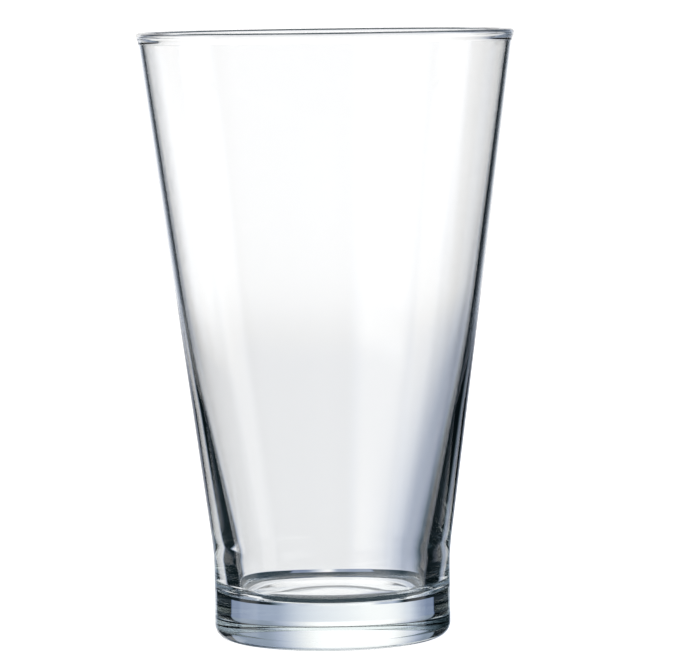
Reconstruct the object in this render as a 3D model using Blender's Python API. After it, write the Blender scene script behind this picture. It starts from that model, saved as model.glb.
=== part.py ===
"""Bar mixing glass: one moulded piece of clear glass, a conical bowl on a thick straight foot.

Metres, +Z up. The origin is the centre of the foot, on the plane that the glass stands on.
The glass is one closed outline, turned about the vertical axis.
"""

from math import acos, atan2, cos, pi, radians, sin, tan

import bmesh
import bpy

# Driving dimensions.
HEIGHT = 0.145
RIM_DIAMETER = 0.090
FOOT_DIAMETER = 0.0566

# The lip: a fire-polished bead, a little proud of the wall on both sides.
LIP_RADIUS = 0.00095
LIP_PROUD = 0.00020

# The bowl's outer wall, and the wide arc that turns it into the foot's straight side.
BOWL_TAPER = radians(7.6)
FOOT_BLEND_RADIUS = 0.060

# The inside: nearly parallel to the outer wall above, steeper below, so the wall thickens,
# and close to upright again in the well above the floor.
LIP_WALL = 0.00135
UPPER_INNER_TAPER = radians(7.96)
LOWER_INNER_TAPER = radians(11.3)
WELL_TAPER = radians(5.0)
THICKENING_BLEND_RADIUS = 0.500
WELL_BLEND_RADIUS = 0.030
WELL_HEIGHT = 0.0215
FLOOR_HEIGHT = 0.0107
FLOOR_DIAMETER = 0.0450
FLOOR_CORNER_RADIUS = 0.0034

# The foot: rounded edge, flat ring to stand on, shallow hollow inside the ring.
FOOT_EDGE_RADIUS = 0.0033
STANDING_RING_WIDTH = 0.0040
HOLLOW_DEPTH = 0.0020

# Fineness of the turned solid.
TURNS = 72
LIP_STEPS = 10
ROUND_STEPS = 6
WIDE_STEPS = 4
CLOSE_UP = 1e-6
SMOOTH_ANGLE = radians(30)


def arc(centre, radius, start, end, steps):
    """Points (r, z) on a circle about centre, from angle start to angle end."""
    r0, z0 = centre
    angles = [start + (end - start) * i / steps for i in range(steps + 1)]
    return [(r0 + radius * cos(a), z0 + radius * sin(a)) for a in angles]


def rounded(before, corner, after, radius, steps):
    """The arc that rounds the corner of a path running before, corner, after."""
    in_angle = atan2(corner[1] - before[1], corner[0] - before[0])
    out_angle = atan2(after[1] - corner[1], after[0] - corner[0])
    turn = (out_angle - in_angle + pi) % (2 * pi) - pi
    back = radius * tan(abs(turn) / 2)
    side = pi / 2 if turn > 0 else -pi / 2
    start = (corner[0] - back * cos(in_angle), corner[1] - back * sin(in_angle))
    centre = (start[0] + radius * cos(in_angle + side), start[1] + radius * sin(in_angle + side))
    return arc(centre, radius, in_angle - side, in_angle - side + turn, steps)


def meeting(point_a, taper_a, point_b, taper_b):
    """Where two wall lines meet, each through a point and leaning outwards by its taper."""
    slope_a, slope_b = tan(taper_a), tan(taper_b)
    z = (point_b[0] - point_a[0] + slope_a * point_a[1] - slope_b * point_b[1]) / (slope_a - slope_b)
    return (point_a[0] + slope_a * (z - point_a[1]), z)


def outline():
    """The glass's section (r, z): up the inside, over the lip, down the outside, under the foot."""
    lip_centre = (RIM_DIAMETER / 2 - LIP_RADIUS, HEIGHT - LIP_RADIUS)
    proud_line = LIP_RADIUS - LIP_PROUD
    outer_top = (
        lip_centre[0] + proud_line / cos(BOWL_TAPER) + LIP_RADIUS * tan(BOWL_TAPER),
        HEIGHT,
    )
    inner_top = (outer_top[0] - LIP_WALL, HEIGHT)

    floor_edge = (FLOOR_DIAMETER / 2, FLOOR_HEIGHT)
    well_rise = WELL_HEIGHT - FLOOR_HEIGHT
    well_top = (floor_edge[0] + well_rise * tan(WELL_TAPER), WELL_HEIGHT)
    thickening = meeting(inner_top, UPPER_INNER_TAPER, well_top, LOWER_INNER_TAPER)
    foot_r = FOOT_DIAMETER / 2
    foot_top = meeting(outer_top, BOWL_TAPER, (foot_r, 0), 0)
    foot_edge = (foot_r, 0)
    ring_inner = foot_r - FOOT_EDGE_RADIUS - STANDING_RING_WIDTH

    # The bead runs between the two wall lines, from its inner neck to its outer neck.
    inner_offset = (lip_centre[0] - inner_top[0]) * cos(UPPER_INNER_TAPER)
    inner_offset += LIP_RADIUS * sin(UPPER_INNER_TAPER)
    inner_neck = pi - UPPER_INNER_TAPER + acos(inner_offset / LIP_RADIUS)
    outer_neck = -BOWL_TAPER - acos(proud_line / LIP_RADIUS)

    hollow_radius = (ring_inner**2 + HOLLOW_DEPTH**2) / (2 * HOLLOW_DEPTH)
    hollow_centre = (0, HOLLOW_DEPTH - hollow_radius)
    hollow_start = atan2(-hollow_centre[1], ring_inner)

    return (
        [(0, FLOOR_HEIGHT)]
        + rounded((0, FLOOR_HEIGHT), floor_edge, well_top, FLOOR_CORNER_RADIUS, ROUND_STEPS)
        + rounded(floor_edge, well_top, thickening, WELL_BLEND_RADIUS, WIDE_STEPS)
        + rounded(well_top, thickening, inner_top, THICKENING_BLEND_RADIUS, WIDE_STEPS)
        + arc(lip_centre, LIP_RADIUS, inner_neck, outer_neck, LIP_STEPS)
        + rounded(outer_top, foot_top, foot_edge, FOOT_BLEND_RADIUS, WIDE_STEPS)
        + rounded(foot_top, foot_edge, (0, 0), FOOT_EDGE_RADIUS, ROUND_STEPS)
        + arc(hollow_centre, hollow_radius, hollow_start, pi / 2, WIDE_STEPS)
    )


def turned(name, section):
    """A closed mesh, made by turning the section once about the vertical axis."""
    shape = bmesh.new()
    points = [shape.verts.new((r, 0, z)) for r, z in section]
    edges = [shape.edges.new(pair) for pair in zip(points, points[1:])]
    bmesh.ops.spin(
        shape,
        geom=points + edges,
        axis=(0, 0, 1),
        cent=(0, 0, 0),
        steps=TURNS,
        angle=2 * pi,
        use_merge=True,
    )
    bmesh.ops.remove_doubles(shape, verts=shape.verts, dist=CLOSE_UP)
    bmesh.ops.recalc_face_normals(shape, faces=shape.faces)
    mesh = bpy.data.meshes.new(name)
    shape.to_mesh(mesh)
    shape.free()
    mesh.shade_smooth()
    mesh.set_sharp_from_angle(angle=SMOOTH_ANGLE)
    return mesh


def clear_glass():
    """Clear soda-lime glass, very slightly green."""
    material = bpy.data.materials.new("clear_glass")
    material.use_nodes = True
    shader = material.node_tree.nodes["Principled BSDF"]
    shader.inputs["Base Color"].default_value = (0.97, 0.99, 0.985, 1)
    shader.inputs["Roughness"].default_value = 0.02
    shader.inputs["Metallic"].default_value = 0
    shader.inputs["IOR"].default_value = 1.52
    shader.inputs["Transmission Weight"].default_value = 1
    return material


def main():
    for thing in list(bpy.data.objects):
        bpy.data.objects.remove(thing)
    mesh = turned("glass_body", outline())
    mesh.materials.append(clear_glass())
    body = bpy.data.objects.new("glass_body", mesh)
    bpy.context.scene.collection.objects.link(body)


main()
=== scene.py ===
# %% [markdown]
# # A bar mixing glass
#
# The glass is one moulded piece: a conical bowl on a thick, straight-sided foot. Clear glass
# has no colour of its own to paint, so two things decide how it looks: the exact outline that
# is turned into its shape, and what stands round it to be refracted. This lesson makes the
# outline and the turning in Geometry Nodes, the glass in a short shader, and then the
# bright-field studio that clear glassware is usually shown in.

from math import cos, pi, radians, sin

import bmesh
import bpy
from mathutils import Matrix, Vector


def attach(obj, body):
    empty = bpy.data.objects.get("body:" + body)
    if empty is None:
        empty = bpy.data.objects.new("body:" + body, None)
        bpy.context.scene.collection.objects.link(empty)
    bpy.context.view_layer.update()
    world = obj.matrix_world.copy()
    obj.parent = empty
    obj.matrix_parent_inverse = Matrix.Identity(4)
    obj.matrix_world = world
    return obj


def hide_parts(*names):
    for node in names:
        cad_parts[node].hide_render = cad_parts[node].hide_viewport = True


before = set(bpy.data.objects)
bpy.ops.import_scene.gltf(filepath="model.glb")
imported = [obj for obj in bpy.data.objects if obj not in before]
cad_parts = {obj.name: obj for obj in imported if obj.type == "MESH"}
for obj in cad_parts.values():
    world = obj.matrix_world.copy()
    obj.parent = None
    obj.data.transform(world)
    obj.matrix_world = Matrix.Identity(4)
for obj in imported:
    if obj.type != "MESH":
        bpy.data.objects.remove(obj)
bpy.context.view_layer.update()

# %% [markdown]
# ## Wires instead of node boxes
#
# Node trees are long to read as boxes and links. A small class wraps an output socket, so that
# maths on it is written as ordinary Python and adds its Math nodes by itself. Every other kind
# of node comes from one method, which takes the node's type, its settings and its sockets.
# The same class serves Geometry Nodes and shaders, because both use the same Math node.


# %% A socket that can be reckoned with
class Wire:
    """An output socket of a node tree, with arithmetic."""

    def __init__(self, socket):
        self.socket = socket

    def node(self, kind, settings, sockets):
        """A node in this wire's tree: its settings are set first, then its sockets."""
        return add_node(self.socket.id_data, kind, settings, sockets)

    def math(self, operation, *others):
        sockets = dict(enumerate((self, *others)))
        return Wire(self.node("ShaderNodeMath", {"operation": operation}, sockets).outputs[0])

    def __add__(self, other):
        return self.math("ADD", other)

    def __sub__(self, other):
        return self.math("SUBTRACT", other)

    def __mul__(self, other):
        return self.math("MULTIPLY", other)

    def __truediv__(self, other):
        return self.math("DIVIDE", other)

    def __pow__(self, other):
        return self.math("POWER", other)

    def __neg__(self):
        return self * -1

    def __radd__(self, other):
        return self + other

    def __rmul__(self, other):
        return self * other

    def __rsub__(self, other):
        return -self + other

    def step(self, start, end):
        """0 before start, 1 after end, and a smooth rise between them."""
        settings = {"interpolation_type": "SMOOTHSTEP"}
        sockets = {"Value": self, "From Min": start, "From Max": end}
        return Wire(self.node("ShaderNodeMapRange", settings, sockets).outputs[0])


def add_node(tree, kind, settings, sockets):
    """Adds a node, sets it, and fills its sockets with values, wires or plain sockets."""
    node = tree.nodes.new(kind)
    for name, value in settings.items():
        setattr(node, name, value)
    for key, value in sockets.items():
        if isinstance(value, Wire):
            value = value.socket
        if isinstance(value, bpy.types.NodeSocket):
            tree.links.new(value, node.inputs[key])
        else:
            node.inputs[key].default_value = value
    return node


print("wires ready")

# %% [markdown]
# ## Sizes of the glass
#
# A mould and a plunger shape this glass, so it has an outside outline and an inside outline.
# Outside, a straight taper runs from the lip down to the foot and turns upright in one wide
# arc. Inside, the plunger leans a little more than the mould, so the wall thickens on the way
# down, and it ends in a short, almost upright well over a thick floor. The lip is a bead that
# the fire polish draws in. All lengths are in metres and all angles in degrees.

# %% Sizes
SIZES = {
    "Height": 0.145,
    "Rim Radius": 0.045,
    "Lip Inner Radius": 0.0431,
    "Lip Rounding": 0.00088,
    "Lip Depth": 0.0013,
    "Neck Depth": 0.0024,
    "Outer Wall Radius": 0.044933,
    "Inner Wall Radius": 0.043583,
    "Bowl Taper": 7.6,
    "Upper Inner Taper": 7.96,
    "Lower Inner Taper": 11.3,
    "Well Taper": 5.0,
    "Well Height": 0.0215,
    "Well Blend": 0.030,
    "Thickening Blend": 0.500,
    "Floor Height": 0.0107,
    "Floor Radius": 0.0225,
    "Floor Corner": 0.0034,
    "Foot Radius": 0.0283,
    "Foot Blend": 0.060,
    "Foot Edge": 0.0033,
    "Ring Inner Radius": 0.021,
    "Hollow Depth": 0.0020,
}
SIDES = 240
ARC_STEPS = 18
LONGEST_STRAIGHT = 0.0035
CLOSE_UP = 1e-6
lip_wall = SIZES["Outer Wall Radius"] - SIZES["Inner Wall Radius"]
print("wall under the lip, mm:", round(1000 * lip_wall, 2))

# %% [markdown]
# ## One outline, turned once
#
# On the real object the outline is cut into an iron mould, and the glass takes it all round.
# Spinning an edited outline would give the same mesh, but its sizes would be lost in vertex
# positions. This tree keeps them as named inputs. It sets one point at each corner of the
# outline, rounds each corner by its own radius with Fillet Curve, cuts the long straights so
# that the shading stays true along them, and bends a grid round the axis to the outline.


# %% Start the tree and its named inputs
tree = bpy.data.node_groups.new("turned_glass", "GeometryNodeTree")
tree.is_modifier = True
tree.interface.new_socket("Geometry", in_out="INPUT", socket_type="NodeSocketGeometry")
tree.interface.new_socket("Geometry", in_out="OUTPUT", socket_type="NodeSocketGeometry")
for name, value in SIZES.items():
    item = tree.interface.new_socket(name, in_out="INPUT", socket_type="NodeSocketFloat")
    item.default_value = value
for name, value in (("Sides", SIDES), ("Arc Steps", ARC_STEPS)):
    item = tree.interface.new_socket(name, in_out="INPUT", socket_type="NodeSocketInt")
    item.default_value = value
for name, value in (("Longest Straight", LONGEST_STRAIGHT), ("Close Up", CLOSE_UP)):
    item = tree.interface.new_socket(name, in_out="INPUT", socket_type="NodeSocketFloat")
    item.default_value = value
tree.interface.new_socket("Material", in_out="INPUT", socket_type="NodeSocketMaterial")
entry = add_node(tree, "NodeGroupInput", {}, {})
size = {socket.name: Wire(socket) for socket in entry.outputs if socket.name}
print("named inputs:", len(size))

# %% [markdown]
# ## The corners of the outline
#
# The outline runs up the inside, over the lip, down the outside and under the foot. Three of
# its corners are where two straight walls meet, so the tree works them out: each wall is a
# line through a known point, leaning by its taper. The last corners make the underside: the
# glass stands on a flat ring, and inside the ring it is hollow by two millimetres. A ring
# stands steady where a whole flat face would rock.


# %% Corner points and their roundings
def slope(name):
    """How far a wall leans out for each metre it rises."""
    return (size[name] * (pi / 180)).math("TANGENT")


def along(point, lean, height):
    """The radius of a leaning wall at a height."""
    return point[0] + lean * (height - point[1])


def crossing(point_a, lean_a, point_b, lean_b):
    """Where two leaning walls meet."""
    height = point_b[0] - point_a[0] + lean_a * point_a[1] - lean_b * point_b[1]
    height = height / (lean_a - lean_b)
    return along(point_a, lean_a, height), height


top = size["Height"]
neck, lip = top - size["Neck Depth"], top - size["Lip Depth"]
outer_top, inner_top = (size["Outer Wall Radius"], top), (size["Inner Wall Radius"], top)
floor_edge = (size["Floor Radius"], size["Floor Height"])
well_top = (along(floor_edge, slope("Well Taper"), size["Well Height"]), size["Well Height"])
thickening = crossing(
    inner_top, slope("Upper Inner Taper"), well_top, slope("Lower Inner Taper")
)
foot_top_height = top - (size["Outer Wall Radius"] - size["Foot Radius"]) / slope("Bowl Taper")
CORNERS = [
    (0.0, size["Floor Height"], 0.0),
    (*floor_edge, size["Floor Corner"]),
    (*well_top, size["Well Blend"]),
    (*thickening, size["Thickening Blend"]),
    (along(inner_top, slope("Upper Inner Taper"), neck), neck, 0.002),
    (size["Lip Inner Radius"], lip, 0.001),
    (size["Lip Inner Radius"], top, size["Lip Rounding"]),
    (size["Rim Radius"], top, size["Lip Rounding"]),
    (size["Rim Radius"], lip, 0.001),
    (along(outer_top, slope("Bowl Taper"), neck), neck, 0.002),
    (size["Foot Radius"], foot_top_height, size["Foot Blend"]),
    (size["Foot Radius"], 0.0, size["Foot Edge"]),
    (size["Ring Inner Radius"], 0.0, 0.002),
    (size["Ring Inner Radius"] * 0.5, size["Hollow Depth"], 0.060),
    (0.0, size["Hollow Depth"], 0.0),
]
print("corners in the outline:", len(CORNERS))

# %% [markdown]
# ## From corners to a rounded, evenly cut outline
#
# An Index Switch hands each point its own place and its own rounding. After the fillets, each
# straight gets as many extra cuts as its length needs. Without them, the shading of a wall
# seventy millimetres long would hang on the two edges at its ends.


# %% Round and cut the outline
def by_index(kind, values, index):
    """The value for each point, chosen by the point's number."""
    switch = add_node(tree, "GeometryNodeIndexSwitch", {"data_type": kind}, {"Index": index})
    while len(switch.index_switch_items) < len(values):
        switch.index_switch_items.new()
    for number, value in enumerate(values):
        socket = switch.inputs[number + 1]
        if isinstance(value, Wire):
            tree.links.new(value.socket, socket)
        else:
            socket.default_value = value
    return Wire(switch.outputs[0])


index = Wire(add_node(tree, "GeometryNodeInputIndex", {}, {}).outputs[0])
radii = by_index("FLOAT", [corner[0] for corner in CORNERS], index)
heights = by_index("FLOAT", [corner[1] for corner in CORNERS], index)
roundings = by_index("FLOAT", [corner[2] for corner in CORNERS], index)
place = add_node(tree, "ShaderNodeCombineXYZ", {}, {"X": radii, "Z": heights})
line = add_node(tree, "GeometryNodeMeshLine", {}, {"Count": len(CORNERS)})
path = add_node(tree, "GeometryNodeMeshToCurve", {}, {"Mesh": line.outputs[0]})
path = add_node(
    tree,
    "GeometryNodeSetPosition",
    {},
    {"Geometry": path.outputs[0], "Position": place.outputs[0]},
)
rounded = add_node(
    tree,
    "GeometryNodeFilletCurve",
    {"mode": "POLY"},
    {"Curve": path.outputs[0], "Radius": roundings, "Count": size["Arc Steps"]},
)
here = Wire(add_node(tree, "GeometryNodeInputPosition", {}, {}).outputs[0])
there = add_node(
    tree,
    "GeometryNodeFieldAtIndex",
    {"data_type": "FLOAT_VECTOR"},
    {"Index": index + 1, "Value": here},
)
gap = add_node(
    tree,
    "ShaderNodeVectorMath",
    {"operation": "DISTANCE"},
    {0: here, 1: there.outputs[0]},
)
cuts = (Wire(gap.outputs["Value"]) / size["Longest Straight"]).math("FLOOR")
cut = add_node(
    tree,
    "GeometryNodeSubdivideCurve",
    {},
    {"Curve": rounded.outputs[0], "Cuts": cuts},
)
outline = add_node(tree, "GeometryNodeCurveToMesh", {}, {"Curve": cut.outputs[0]})
print("outline nodes:", len(tree.nodes))

# %% [markdown]
# ## Bending a grid round the axis
#
# A grid with one column for each point of the outline and one row for each step round the
# axis is laid onto the outline: a column gives radius and height, a row gives the angle. The
# first and last rows fall on each other, and so do all the points on the axis, so a merge
# closes the seam and both poles. The tree ends with the material, as plain geometry.

# %% Turn the outline
count = add_node(
    tree,
    "GeometryNodeAttributeDomainSize",
    {"component": "MESH"},
    {"Geometry": outline.outputs[0]},
)
rows = size["Sides"] + 1
grid = add_node(
    tree,
    "GeometryNodeMeshGrid",
    {},
    {"Vertices X": count.outputs["Point Count"], "Vertices Y": rows},
)
column = (index / rows).math("FLOOR")
angle = (index - column * rows) / size["Sides"] * (2 * pi)
on_outline = add_node(
    tree,
    "GeometryNodeSampleIndex",
    {"data_type": "FLOAT_VECTOR", "domain": "POINT"},
    {"Geometry": outline.outputs[0], "Value": here, "Index": column},
)
point = add_node(tree, "ShaderNodeSeparateXYZ", {}, {0: on_outline.outputs[0]})
radius = Wire(point.outputs["X"])
place = add_node(
    tree,
    "ShaderNodeCombineXYZ",
    {},
    {
        "X": radius * angle.math("COSINE"),
        "Y": radius * angle.math("SINE"),
        "Z": point.outputs["Z"],
    },
)
turned = add_node(
    tree,
    "GeometryNodeSetPosition",
    {},
    {"Geometry": grid.outputs["Mesh"], "Position": place.outputs[0]},
)
closed = add_node(
    tree,
    "GeometryNodeMergeByDistance",
    {},
    {"Geometry": turned.outputs[0], "Distance": size["Close Up"]},
)
smooth = add_node(
    tree, "GeometryNodeSetShadeSmooth", {}, {"Geometry": closed.outputs[0]}
)
realised = add_node(
    tree, "GeometryNodeRealizeInstances", {}, {"Geometry": smooth.outputs[0]}
)
finished = add_node(
    tree,
    "GeometryNodeSetMaterial",
    {},
    {"Geometry": realised.outputs[0], "Material": size["Material"]},
)
add_node(tree, "NodeGroupOutput", {}, {"Geometry": finished.outputs[0]})
print("nodes in the tree:", len(tree.nodes))

# %% [markdown]
# ## Clear glass
#
# Soda-lime glass is smooth and almost colourless, with a faint blue-green that shows where
# light travels far inside it, so the tint is an absorption in the volume and not a colour on
# the surface. A flat, perfect surface looks like plastic, though. The plunger and the mould
# leave slow waves in the wall, and the chilled foot keeps fine rings from the mould's lathe
# marks, so the shader bends the surface a little with two patterns.


# %% The glass material
GLASS_IOR = 1.52
WAVE_SCALE = 38.0
WAVE_DEPTH = 0.000002
RING_STRETCH = (60, 60, 900)
RING_DEPTH = 0.0000003
BODY_TINT = (0.80, 0.96, 0.95, 1.0)
BODY_TINT_DENSITY = 4.0

glass = bpy.data.materials.new("clear_glass")
glass.use_nodes = True
nodes = glass.node_tree
nodes.nodes.clear()
where = add_node(nodes, "ShaderNodeTexCoord", {}, {}).outputs["Object"]
height = Wire(add_node(nodes, "ShaderNodeSeparateXYZ", {}, {0: where}).outputs["Z"])

wave = add_node(
    nodes,
    "ShaderNodeTexNoise",
    {"noise_dimensions": "3D"},
    {"Vector": where, "Scale": WAVE_SCALE, "Detail": 1.0, "Roughness": 0.4},
)
waves = Wire(wave.outputs[0]) * WAVE_DEPTH

stretched = add_node(nodes, "ShaderNodeMapping", {}, {"Vector": where, "Scale": RING_STRETCH})
ring_noise = add_node(
    nodes,
    "ShaderNodeTexNoise",
    {"noise_dimensions": "3D"},
    {"Vector": stretched.outputs[0], "Scale": 1.0, "Detail": 2.0, "Roughness": 0.5},
)
near_foot = 1 - height.step(0.012, 0.030)
rings = Wire(ring_noise.outputs[0]) * near_foot * RING_DEPTH

relief = add_node(
    nodes,
    "ShaderNodeBump",
    {},
    {"Height": waves + rings, "Distance": 1.0, "Strength": 1.0},
)
surface = add_node(
    nodes,
    "ShaderNodeBsdfPrincipled",
    {},
    {
        "Base Color": (1.0, 1.0, 1.0, 1.0),
        "Roughness": 0.0,
        "IOR": GLASS_IOR,
        "Transmission Weight": 1.0,
        "Normal": relief.outputs[0],
    },
)
depth = add_node(
    nodes,
    "ShaderNodeVolumeAbsorption",
    {},
    {"Color": BODY_TINT, "Density": BODY_TINT_DENSITY},
)
add_node(
    nodes,
    "ShaderNodeOutputMaterial",
    {},
    {"Surface": surface.outputs[0], "Volume": depth.outputs[0]},
)
print("glass nodes:", len(nodes.nodes))

# %% [markdown]
# ## The finished glass
#
# The modifier's inputs go by their identifiers, and they are set before Blender works the
# tree out for the first time. The result is copied to a plain mesh and the modifier removed,
# so nothing that comes later depends on the tree. Turning a grid can leave the skin inside
# out, so the faces are pointed outwards once the mesh is closed.

# %% Make the glass from the tree
seed = bpy.data.meshes.new("seed")
maker = bpy.data.objects.new("maker", seed)
bpy.context.scene.collection.objects.link(maker)
modifier = maker.modifiers.new("turned_glass", "NODES")
modifier.node_group = tree
for item in tree.interface.items_tree:
    if item.item_type == "SOCKET" and item.in_out == "INPUT" and item.name in SIZES:
        modifier[item.identifier] = SIZES[item.name]
    if item.item_type == "SOCKET" and item.name == "Material":
        modifier[item.identifier] = glass

evaluated = maker.evaluated_get(bpy.context.evaluated_depsgraph_get())
mesh = bpy.data.meshes.new_from_object(evaluated)
mesh.name = "mixing_glass"
maker.modifiers.clear()
bpy.data.objects.remove(maker)

skin = bmesh.new()
skin.from_mesh(mesh)
bmesh.ops.remove_doubles(skin, verts=skin.verts, dist=CLOSE_UP)
bmesh.ops.recalc_face_normals(skin, faces=skin.faces)
open_edges = sum(not edge.is_manifold for edge in skin.edges)
volume = skin.calc_volume()
skin.to_mesh(mesh)
skin.free()
mixing_glass = bpy.data.objects.new("mixing_glass", mesh)
bpy.context.scene.collection.objects.link(mixing_glass)
triangles = sum(len(face.vertices) - 2 for face in mesh.polygons)
print("triangles:", triangles, "open edges:", open_edges, "glass, ml:", round(volume * 1e6, 1))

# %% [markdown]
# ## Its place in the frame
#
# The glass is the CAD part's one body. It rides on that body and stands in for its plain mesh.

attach(mixing_glass, "root")
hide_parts("glass_body")

# %% [markdown]
# ## The table
#
# Clear glassware is shown on a pale, lit table, so that no shadow pulls the eye from it. The
# table is a large plain floor that glows, and also takes the soft light of the room. The rays
# that have passed through the glass look past it, to the room's own bright field.

# %% Pale floor
FLOOR_HALF = 9.0
TABLE_GLOW = 0.98
table_mesh = bpy.data.meshes.new("table")
corners = [(-1, -1), (1, -1), (1, 1), (-1, 1)]
table_mesh.from_pydata([(FLOOR_HALF * a, FLOOR_HALF * b, 0) for a, b in corners], [], [range(4)])
table = bpy.data.objects.new("table", table_mesh)
bpy.context.scene.collection.objects.link(table)

acrylic = bpy.data.materials.new("lit_acrylic")
acrylic.use_nodes = True
acrylic.node_tree.nodes.clear()
diffuse = add_node(acrylic.node_tree, "ShaderNodeBsdfDiffuse", {}, {"Color": (0.8, 0.8, 0.8, 1)})
glow = add_node(
    acrylic.node_tree,
    "ShaderNodeEmission",
    {},
    {"Color": (1.0, 1.0, 1.0, 1), "Strength": TABLE_GLOW},
)
both = add_node(
    acrylic.node_tree, "ShaderNodeAddShader", {}, {0: diffuse.outputs[0], 1: glow.outputs[0]}
)
add_node(acrylic.node_tree, "ShaderNodeOutputMaterial", {}, {"Surface": both.outputs[0]})
table_mesh.materials.append(acrylic)
table.visible_transmission = False
table.visible_glossy = False

# %% [markdown]
# ## A card behind the foot
#
# The foot is a solid block of glass. It works as a strong lens, and shows what stands low and
# close behind it, spread from side to side. A small curved card stands there and glows with a
# painted light: brightest a little left of its middle, dim and bluer towards its ends. This
# gives the foot its soft gradient. Beyond the card's ends the foot turns black. Only rays that
# have passed through the glass meet the card.

# %% Curved card
CARD_RADIUS = 0.045
CARD_LOW, CARD_HIGH = -0.0036, 0.0034
CARD_END = 16.0
CARD_STRIPS = 48
card_mesh = bpy.data.meshes.new("card")
bearings = [radians(CARD_END * (2 * i / CARD_STRIPS - 1)) for i in range(CARD_STRIPS + 1)]
card_mesh.from_pydata(
    [
        (CARD_RADIUS * sin(a), CARD_RADIUS * cos(a), z)
        for a in bearings
        for z in (CARD_LOW, CARD_HIGH)
    ],
    [],
    [(2 * i, 2 * i + 1, 2 * i + 3, 2 * i + 2) for i in range(CARD_STRIPS)],
)
card = bpy.data.objects.new("card", card_mesh)
bpy.context.scene.collection.objects.link(card)


def falls(value, start, end, low=0.0):
    """1 before start, and low after end."""
    return 1 - value.step(start, end) * (1 - low)


# Painted light: the card glows, brightest a little left of its middle, dimmer and bluer towards
# its ends.
glowing_card = bpy.data.materials.new("glowing_card")
glowing_card.use_nodes = True
card_tree = glowing_card.node_tree
card_tree.nodes.clear()
spot = add_node(card_tree, "ShaderNodeTexCoord", {}, {}).outputs["Object"]
parts = add_node(card_tree, "ShaderNodeSeparateXYZ", {}, {0: spot})
bearing = Wire(parts.outputs["X"]).math("ARCTAN2", Wire(parts.outputs["Y"])) * (180 / pi)
bright = falls(-bearing, 1.5, 10.5, 0.27) * falls(bearing, -1.2, 2.6, 0.4)
bright = bright * falls(bearing, 3, 10, 0.75) * falls(bearing.math("ABSOLUTE"), 15, CARD_END, 0.5)
shade = add_node(
    card_tree,
    "ShaderNodeCombineColor",
    {},
    {"Red": bright**1.16, "Green": bright, "Blue": bright**0.72},
)
lit = add_node(card_tree, "ShaderNodeEmission", {}, {"Color": shade.outputs[0], "Strength": 1.06})
add_node(card_tree, "ShaderNodeOutputMaterial", {}, {"Surface": lit.outputs[0]})
card_mesh.materials.append(glowing_card)
card.visible_camera = False
card.visible_diffuse = False
card.visible_glossy = False
card.visible_shadow = False

# %% [markdown]
# ## The bright field
#
# A glass that is lit from the front shows every lamp as a spot and has no edges. In the
# bright-field way, a white field stands behind the glass, just wider than the view, and
# the room beside it is dark. The middle of the bowl then shows white, and the thick walls,
# which bend the view sideways, draw the glass with dark lines. The room here is a World whose
# light depends on direction only. Azimuth runs from straight behind the glass, to the right.


# %% Directions in the room
world = bpy.data.worlds.new("studio")
bpy.context.scene.world = world
world.use_nodes = True
room = world.node_tree
room.nodes.clear()
towards = add_node(room, "ShaderNodeTexCoord", {}, {}).outputs["Generated"]
parts = add_node(room, "ShaderNodeSeparateXYZ", {}, {0: towards})
dx, dy, dz = (Wire(parts.outputs[name]) for name in "XYZ")
azimuth = dx.math("ARCTAN2", dy) * (180 / pi)
elevation = dz.math("ARCSINE") * (180 / pi)


def between(value, low, high, soft):
    """1 from low to high, with soft edges outside them."""
    return value.step(low - soft, low) * falls(value, high, high + soft)


print("room directions ready")

# %% [markdown]
# ## Fields and flags
#
# Above the horizon the field behind the glass is wide and fades towards its ends. Below the
# horizon it is narrow, with its right half a shade darker. The dark beside the narrow field is
# what draws the dark line in each wall. The glass is also seen from its other sides, so there
# is a field to the left, one to the right and one to the right behind the viewer, where the
# room glows a little too. Two low fields serve the views from above: one at the back on the
# left, and one under the field behind the viewer. A large soft light hangs overhead, tilted a
# little to the back and the left.

# %% Light by direction
left, right = -azimuth, azimuth
across = azimuth.math("ABSOLUTE")
lower = 1 - elevation.step(-9, -5)
strip = 1 + 0.3 * between(left, 7, 12, 4) * elevation.step(-10, -6)
plateau = 0.6 + 0.4 * (1 - elevation.step(-13, -9))
flank = strip * (1 - (1 - plateau) * left.step(12, 18)) * falls(left - 3 * lower, 18, 25, 0.01)
shoulder = 0.57 + 0.43 * elevation.step(-11, -3)
narrow = flank * falls(right, 12, 22 + 2 * lower, 0.01) * (1 - (1 - shoulder) * right.step(2, 11))
wide = falls(left, 17, 42, 0.27) * falls(right, 1, 25, 0.30) * falls(across, 47, 49)
above = elevation.step(-1.5, 0.5)
behind = (wide * above + narrow * (1 - above)) * (0.96 + 0.2 * elevation.step(-8, -3))
to_side = (across - 90).math("ABSOLUTE")
side = falls(to_side, 9, 16) * between(elevation, -11, 8, 5)
rear = between(azimuth, 122, 148, 18) * (1 - elevation.step(-14, -8))
room_light = 0.25 * across.step(96, 120) * elevation.step(-4, 8) * falls(elevation, 34, 46)
beside = side.math("MAXIMUM", rear).math("MAXIMUM", room_light)
fields = behind.math("MAXIMUM", beside) * elevation.step(-26, -23) * falls(elevation, 55, 70)

bounce = between(azimuth, -64, -30, 6) * elevation.step(-41, -38) * falls(elevation, -25, -23.6)
rear_low = between(azimuth, 122, 148, 18) * between(elevation, -34, -23, 3)
deep = 0.05 * (1 - elevation.step(-26, -23)) + 0.9 * bounce.math("MAXIMUM", rear_low)
dome = (dz + 0.2 * dy - 0.15 * dx).step(0.62, 0.9)
strength = (fields + deep).math("MAXIMUM", dome)
print("room nodes:", len(room.nodes))

# %% [markdown]
# ## Cool greys
#
# The dimmer parts of a white field are cooler than its middle, because less of the warm lamp
# reaches them. Raising the level to a slightly different power for each channel does this:
# white stays white, and a grey turns blue. The gain in blue has a limit, because the darks
# would turn navy without it.

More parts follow.
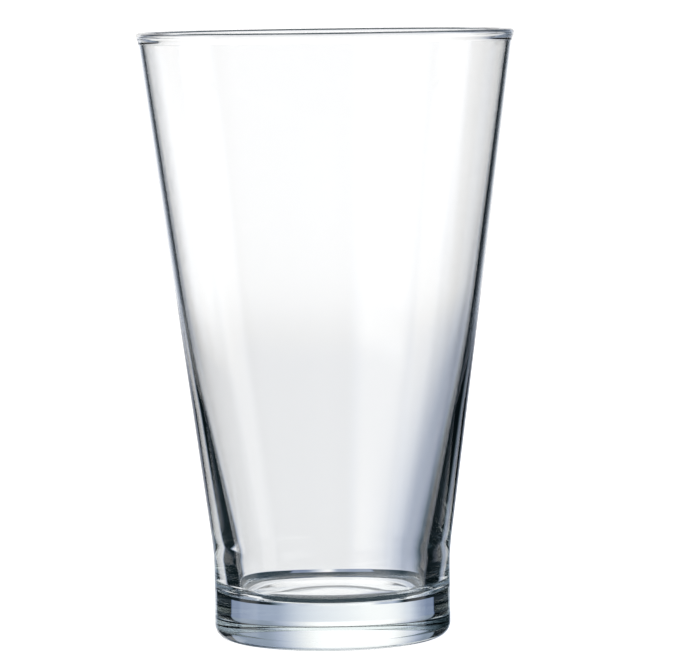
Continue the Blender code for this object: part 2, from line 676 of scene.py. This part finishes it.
# %% Colour of the light
DARKEST = 0.01
RED_POWER, BLUE_POWER, MOST_BLUE = 0.16, -0.31, 1.26
grey = strength.math("MINIMUM", 1.0).math("MAXIMUM", DARKEST)
warm_loss = grey**RED_POWER
cool_gain = (grey**BLUE_POWER).math("MINIMUM", MOST_BLUE)
tint = add_node(
    room,
    "ShaderNodeCombineColor",
    {},
    {"Red": strength * warm_loss, "Green": strength, "Blue": strength * cool_gain},
)
background = add_node(
    room, "ShaderNodeBackground", {}, {"Color": tint.outputs[0], "Strength": 1.0}
)
add_node(room, "ShaderNodeOutputWorld", {}, {"Surface": background.outputs[0]})
print("room lit")

# %% [markdown]
# ## Camera and film
#
# A long lens keeps the sides of the glass nearly parallel. The camera stands about a metre
# away, a little above the rim, and leans slightly. Light crosses up to a dozen glass surfaces
# in the foot, so the paths are allowed more turns than usual, and the plain film curve keeps
# white white.

# %% Camera
CAMERA_PLACE = Vector((0, -1.043, 0.1567))
LENS = 225.8
PITCH, YAW, ROLL = radians(4.588), radians(0.265), radians(-0.770)

ahead = Vector((sin(YAW) * cos(PITCH), cos(YAW) * cos(PITCH), -sin(PITCH)))
level_right = Vector((cos(YAW), -sin(YAW), 0))
level_up = level_right.cross(ahead)
camera_right = cos(ROLL) * level_right + sin(ROLL) * level_up
camera_up = cos(ROLL) * level_up - sin(ROLL) * level_right
turn = Matrix((camera_right, camera_up, -ahead)).transposed().to_4x4()

lens = bpy.data.cameras.new("camera")
lens.lens = LENS
lens.sensor_width = 36
lens.sensor_fit = "HORIZONTAL"
lens.clip_start, lens.clip_end = 0.01, 100
camera = bpy.data.objects.new("camera", lens)
camera.matrix_world = Matrix.Translation(CAMERA_PLACE) @ turn
bpy.context.scene.collection.objects.link(camera)
bpy.context.scene.camera = camera

film = bpy.context.scene
film.view_settings.view_transform = "Standard"
film.cycles.max_bounces = 24
film.cycles.transmission_bounces = 24
film.cycles.glossy_bounces = 24
print("camera at, m:", [round(v, 3) for v in camera.location])
